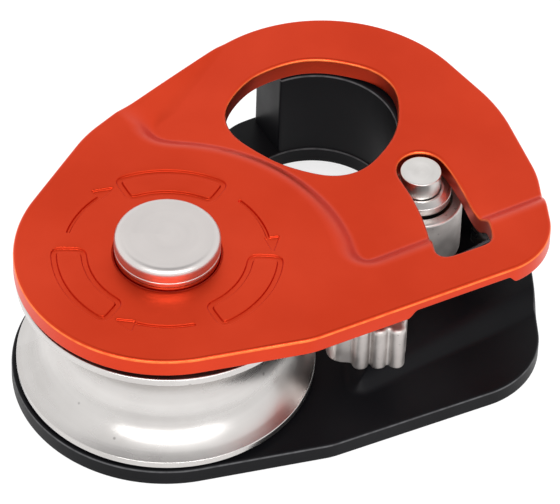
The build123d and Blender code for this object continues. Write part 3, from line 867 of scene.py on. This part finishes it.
def moving_bottom(points):
    # The underside is relieved near the front rim, between two radii about the sheave's axis
    radius = np.hypot(points[:, 0], points[:, 1])
    relief = smoothstep((radius - CHANNEL[0]) / CHANNEL_SOFT + 0.5)
    relief *= smoothstep((CHANNEL[1] - radius) / CHANNEL_SOFT + 0.5)
    relief *= smoothstep((SLOT_END[1] + 2 - points[:, 1]) / 0.8)
    return moving_level(points) - PLATE_T + CHANNEL_H * relief


def mark_points():
    # Rows of points along both edges of every pressed line and arrow head
    rows = []
    turns = np.linspace(0, 2 * pi, 17)[:-1]
    ring = np.stack([np.cos(turns), np.sin(turns)], 1)
    for line, half in marks:
        normals = loop_normals(line)
        normals[0], normals[-1] = normals[1], normals[-2]
        levels = [half + k * MARK_WALL for k in (0.05, -0.25, -0.5, -0.75, -1.05)]
        rows += [line[:-1] + normals[:-1] * side * level for level in levels for side in (-1, 1)]
        if np.hypot(*(line[0] - line[-1])) > 1:
            rows += [end + ring * level for end in (line[0], line[-1]) for level in levels]
    for head in heads:
        normals = loop_normals(head)
        rows += [head + normals * k * MARK_WALL for k in (-0.15, 0.05, 0.3, 0.6, 1.05)]
        rows += [head - normals * k * MARK_WALL for k in (0.3, 0.6, 1.05)]
    points = np.vstack(rows)
    order = np.unique(np.round(points / 0.045).astype(int), axis=0, return_index=True)[1]
    return points[np.sort(order)]


def face_points(loops, ridge, spacing, marked=False):
    # Points for a plate's face: fine across the ridge and the pressed marks, coarser elsewhere
    fine = grid_points(loops, FINE, 0.2, lambda points: path_distance(points, ridge.path) < RIDGE_BAND)
    if marked:
        pressed = mark_points()
        fine = np.vstack([pressed, thin_out(fine, pressed, 0.12)])
    return np.vstack([fine, thin_out(grid_points(loops, spacing, 0.3), fine, 0.25)])


def moving_side_plate():
    outline = hull_loop(MOVING_CIRCLES, STEP)
    holes = [window_loop(), slot_loop(), circle_loop(0, 0, AXLE_BORE_R, STEP)[::-1]]
    loops = [outline] + holes
    shell = Shell()
    rounded_slab(shell, outline, holes, moving_top, moving_bottom, MOVING_RIM, MOVING_RIM_UNDER,
                 face_points(loops, moving_ridge, COARSE, marked=True),
                 face_points(loops, moving_ridge, UNDERSIDE))
    new_piece("side_plate_moving", *shell.data(), ORANGE, "swing_plate", ["moving_side_plate"],
              "orange_anodised")


moving_side_plate()


# ================= fixed side plate and its crescent wall =================
fixed_ridge = Ridge(FIXED_VALLEY, FIXED_END)


def fixed_inner(points):
    return FLOOR - EMBOSS_H * fixed_ridge.share(points, reverse=True)


def fixed_outer(points):
    return fixed_inner(points) - PLATE_T


def wall_loop():
    # The crescent between the outline and the carabiner hole, anticlockwise
    def behind(points):
        across = (WALL_LEFT_OUT[0] - WALL_LEFT[0]) * (points[:, 1] - WALL_LEFT[1]) \
            - (WALL_LEFT_OUT[1] - WALL_LEFT[1]) * (points[:, 0] - WALL_LEFT[0])
        return (across < 0) & (points[:, 1] > WALL_RIGHT_Y)

    far = hull_loop([(x, y, r - WALL_INSET) for x, y, r in FAR_CIRCLES], 0.1)
    far = np.roll(far, -int(np.argmin(far[:, 1])), 0)
    far = far[behind(far)]
    near = circle_loop(*EYE, EYE_R + 0.2, 0.1)
    near = np.roll(near, -int(np.argmin(near[:, 1])), 0)
    near = near[behind(near) & (near[:, 0] > WALL_LEFT[0] - 1)]
    return resample(smooth_loop(np.vstack([far, near[::-1]]), 0.08, 0.3), STEP)


def level(z):
    return lambda points: np.full(len(points), float(z))


def fixed_side_plate():
    outline = hull_loop(FIXED_CIRCLES, STEP)
    bores = [(*EYE, EYE_R), (0, 0, AXLE_FOOT_R), (*PIVOT, PIN_R), (*ANCHOR, ANCHOR_R)]
    holes = [circle_loop(x, y, r, STEP)[::-1] for x, y, r in bores]
    face = face_points([outline] + holes, fixed_ridge, UNDERSIDE)
    shell = Shell()
    rounded_slab(shell, outline, holes, fixed_inner, fixed_outer, FIXED_RIM, FIXED_RIM, face, face)
    wall = wall_loop()
    rounded_slab(shell, wall, [], level(WALL_TOP), level(FLOOR - 0.4), WALL_RIM, 0.05,
                 grid_points([wall], 1.2, 0.4), np.empty((0, 2)))
    new_piece("side_plate_fixed", *shell.data(), BLACK, "frame", ["fixed_side_plate"], "black_anodised")


fixed_side_plate()


# ================= turned pieces =================
def turned_piece(name, profile, centre, closed, segments, material, body, cad_node, slot):
    shell = Shell()
    lathe(shell, profile, centre, closed, segments)
    new_piece(name, *shell.data(), material, body, [cad_node], slot)


def sheave_profile():
    # The rope's groove is one arc between the flanges; inside are the bearing's seat and a ring's groove
    rise = GROOVE_MID - SHEAVE_Z[0] - FLANGE_EDGE
    depth = SHEAVE_R - TREAD_R
    radius = (rise ** 2 + depth ** 2) / (2 * depth)
    half_angle = atan2(rise, radius - depth)
    tread = [(TREAD_R + radius - radius * cos(a), GROOVE_MID + radius * sin(a))
             for a in np.linspace(-half_angle, half_angle, 61)]
    low, high = SHEAVE_Z
    foot = fillet_path([
        (SHOULDER_R, SEAT_Z, 0), (SHOULDER_R, low, 0.25), (SHEAVE_R, low, 0.22),
        (SHEAVE_R, low + FLANGE_EDGE, 0.12), (*tread[3], 0)], False)
    back = fillet_path([
        (*tread[-4], 0), (SHEAVE_R, high - FLANGE_EDGE, 0.12), (SHEAVE_R, high, 0.22), (SEAT_R, high, 0.25),
        (SEAT_R, RING_Z[1], SHARP), (RING_R, RING_Z[1], SHARP), (RING_R, RING_Z[0], SHARP),
        (SEAT_R, RING_Z[0], SHARP), (SEAT_R, SEAT_Z, SHARP), (SHOULDER_R, SEAT_Z, SHARP)], False)
    return np.vstack([foot[:-1], tread[4:-4], back[1:-1]])


def axle_profile():
    line_low, line_high = HEAD_LINE - 0.05, HEAD_LINE + 0.05
    return fillet_path([
        (0, 0.0, 0), (AXLE_FOOT_R, 0.0, 0.1), (AXLE_R, AXLE_FOOT_H, 0.05), (AXLE_R, HEAD_SEAT, 0.1),
        (HEAD_SEAT_R, HEAD_SEAT, 0.1), (HEAD_R, HEAD_EDGE, 0.1), (HEAD_R, line_low, 0.06),
        (HEAD_R - HEAD_LINE_DEPTH, HEAD_LINE, 0.03), (HEAD_R, line_high, 0.06),
        (HEAD_R, HEAD_TOP, HEAD_ROUND), (0, HEAD_TOP, 0)], False)


def cam_axle_profile():
    return fillet_path([
        (CHAMBER_R, PIN_FOOT, 0.05), (PIN_R, PIN_FOOT, 0.1), (PIN_R, COLLAR_Z[0], 0.05),
        (COLLAR_R, COLLAR_Z[0], 0.12), (COLLAR_R, COLLAR_Z[1], 0.1), (COLLAR_TOP_R, COLLAR_TOP, 0.08),
        (COLLAR_BORE_R, COLLAR_TOP, 0.04), (COLLAR_BORE_R, COLLAR_FLOOR, 0.05), (GUIDE_R, COLLAR_FLOOR, 0.05),
        (GUIDE_R, CHAMBER_TOP, 0.05), (CHAMBER_R, CHAMBER_TOP, 0.05)], True)


def button_profile():
    return fillet_path([
        (0, SHANK_FOOT, 0), (SHANK_R, SHANK_FOOT, 0.1), (SHANK_R, BUTTON_Z[0], 0.05),
        (BUTTON_R, BUTTON_Z[0], 0.08), (BUTTON_R, BUTTON_Z[1], 0.14), (0, BUTTON_Z[1], 0)], False)


def anchor_profile():
    return fillet_path([
        (0, PIN_FOOT, 0), (ANCHOR_R, PIN_FOOT, 0.05), (ANCHOR_R, ANCHOR_TOP, 0.3), (0, ANCHOR_TOP, 0)], False)


turned_piece("sheave_wheel", sheave_profile(), (0, 0), True, 256,
             SHEAVE_METAL, "sheave_body", "sheave", "turned_aluminium")
turned_piece("axle_with_head", axle_profile(), (0, 0), False, 192,
             HEAD_METAL, "frame", "sheave_axle", "satin_steel")
turned_piece("cam_axle_pin", cam_axle_profile(), PIVOT, True, 128,
             PIN_METAL, "frame", "cam_axle", "satin_steel")
turned_piece("lock_button_turned", button_profile(), PIVOT, False, 128,
             PIN_METAL, "button", "lock_button", "satin_steel")
turned_piece("anchor_pin_turned", anchor_profile(), ANCHOR, False, 64,
             PIN_METAL, "frame", "spring_anchor_pin", "satin_steel")


# ================= cam =================
def cam_loop():
    # The hull of the arm, nose and tab, pushed out where a rib or a tooth stands on it
    loop = hull_loop([ARM, NOSE, TAB], 0.06)
    normals = loop_normals(loop)
    along = np.array(ARM[:2]) - NOSE[:2]
    along /= np.linalg.norm(along)
    outward = np.array((-along[1], along[0]))
    first = np.array(NOSE[:2]) + outward * NOSE[2] + along * TOOTH_R
    bumps = [(np.array(p), RIB_R) for p in RIBS]
    bumps += [(first + along * i * TOOTH_PITCH, TOOTH_R) for i in range(TEETH)]
    push = np.zeros(len(loop))
    for centre, radius in bumps:
        away = centre - loop
        ahead = (away * normals).sum(1)
        aside = (away ** 2).sum(1) - ahead ** 2
        hit = aside < radius ** 2
        reach = ahead + np.sqrt(np.maximum(radius ** 2 - aside, 0))
        push = np.maximum(push, np.where(hit & (reach > 0), reach, 0))
    loop = loop + normals * push[:, None]
    # the arm is waisted on the side away from the rope
    waist = np.sin(pi * np.clip((loop[:, 1] - WAIST_FROM) / WAIST_LENGTH, 0, 1))
    loop[:, 0] -= WAIST * waist * smoothstep((normals[:, 0] - 0.3) / 0.5)
    return resample(smooth_loop(loop, 0.06, 0.26), LINE_STEP)


def cam_piece():
    contour = cam_loop()
    face = grid_points([contour], 1.0, 0.3)
    shell = Shell()
    rounded_slab(shell, contour, [], level(CAM_Z[1]), level(CAM_Z[0]), CAM_RIM, CAM_RIM_UNDER, face, face)
    boss = fillet_path([
        (CAM_BORE_R, BOSS_Z[0], 0.1), (BOSS_R, BOSS_Z[0], 0.35), (BOSS_R, BOSS_Z[1], 0.3),
        (BOSS_STEP_R, BOSS_Z[1], 0.15), (BOSS_STEP_R, CAM_Z[1], 0.1), (CAM_BORE_R, CAM_Z[1], 0.1)], True)
    lathe(shell, boss, PIVOT, True, 144)
    new_piece("cam_cast", *shell.data(), CAM_METAL, "cam_body", ["cam"], "cast_stainless")


cam_piece()


# ================= carried-over CAD nodes =================
def dress_cad_nodes():
    # Every CAD node gets its slot's look; the plate's bush is as orange as the plate round it
    for row in frame["record"]["subparts"]:
        thing = frame["nodes"].get(row["node"])
        if thing is None:
            continue
        look = ORANGE if row["node"] == "plate_bush" else LOOKS[row["material_slot"]]
        if not thing.data.materials:
            thing.data.materials.append(look)
        for k in range(len(thing.data.materials)):
            thing.data.materials[k] = look


dress_cad_nodes()


# ================= camera, floor and light =================
def make_camera():
    data = bpy.data.cameras.new("camera")
    data.sensor_width = SENSOR
    data.lens = LENS
    camera = bpy.data.objects.new("camera", data)
    bpy.context.scene.collection.objects.link(camera)
    back = Vector((0, -cos(VIEW_ELEVATION), sin(VIEW_ELEVATION)))
    up = Vector((0, sin(VIEW_ELEVATION), cos(VIEW_ELEVATION)))
    turn = Matrix((Vector((1, 0, 0)), up, back)).transposed().to_4x4()
    place = Matrix.Translation(AIM + back * VIEW_DISTANCE)
    camera.matrix_world = place @ turn @ Matrix.Rotation(VIEW_ROLL, 4, "Z")
    bpy.context.scene.camera = camera


def make_floor():
    # A matt floor that also glows, so that it stays white beside the part's shadow
    bpy.ops.mesh.primitive_plane_add(size=4, location=(0, 0, -0.0002))
    floor = bpy.context.object
    look, _, _, shader = material("floor")
    shader.inputs["Base Color"].default_value = (0.4, 0.4, 0.4, 1)
    shader.inputs["Roughness"].default_value = 0.9
    shader.inputs["Emission Color"].default_value = (1, 1, 1, 1)
    shader.inputs["Emission Strength"].default_value = 0.75
    floor.data.materials.append(look)


def softbox(name, place, aim, width, height, power):
    data = bpy.data.lights.new(name, "AREA")
    data.shape = "RECTANGLE"
    data.size, data.size_y = width, height
    data.energy = power
    lamp = bpy.data.objects.new(name, data)
    bpy.context.scene.collection.objects.link(lamp)
    lamp.location = place
    lamp.rotation_euler = (Vector(aim) - Vector(place)).to_track_quat("-Z", "Y").to_euler()


def make_world():
    # White light from all round, with a soft dark patch overhead, as under a tent with an open top
    world = bpy.data.worlds.new("studio")
    bpy.context.scene.world = world
    world.use_nodes = True
    nodes, links = world.node_tree.nodes, world.node_tree.links
    direction = nodes.new("ShaderNodeTexCoord")
    towards = maths(nodes, "VectorMath", "DOT_PRODUCT")
    towards.inputs[1].default_value = (0, 0.12, 0.9925)
    links.new(direction.outputs["Generated"], towards.inputs[0])
    tones = colour_ramp(nodes, [(0.86, (1.0, 1.0, 1.0)), (0.985, (0.35, 0.35, 0.36))])
    links.new(towards.outputs["Value"], tones.inputs["Fac"])
    links.new(tones.outputs["Color"], nodes["Background"].inputs["Color"])
    nodes["Background"].inputs["Strength"].default_value = 1.12


make_camera()
bpy.context.scene.view_settings.view_transform = "Standard"
make_floor()
make_world()
softbox("softbox_front", place=(0.08, -0.75, 0.72), aim=(0.01, 0.01, 0.01), width=1.2, height=0.14, power=6)
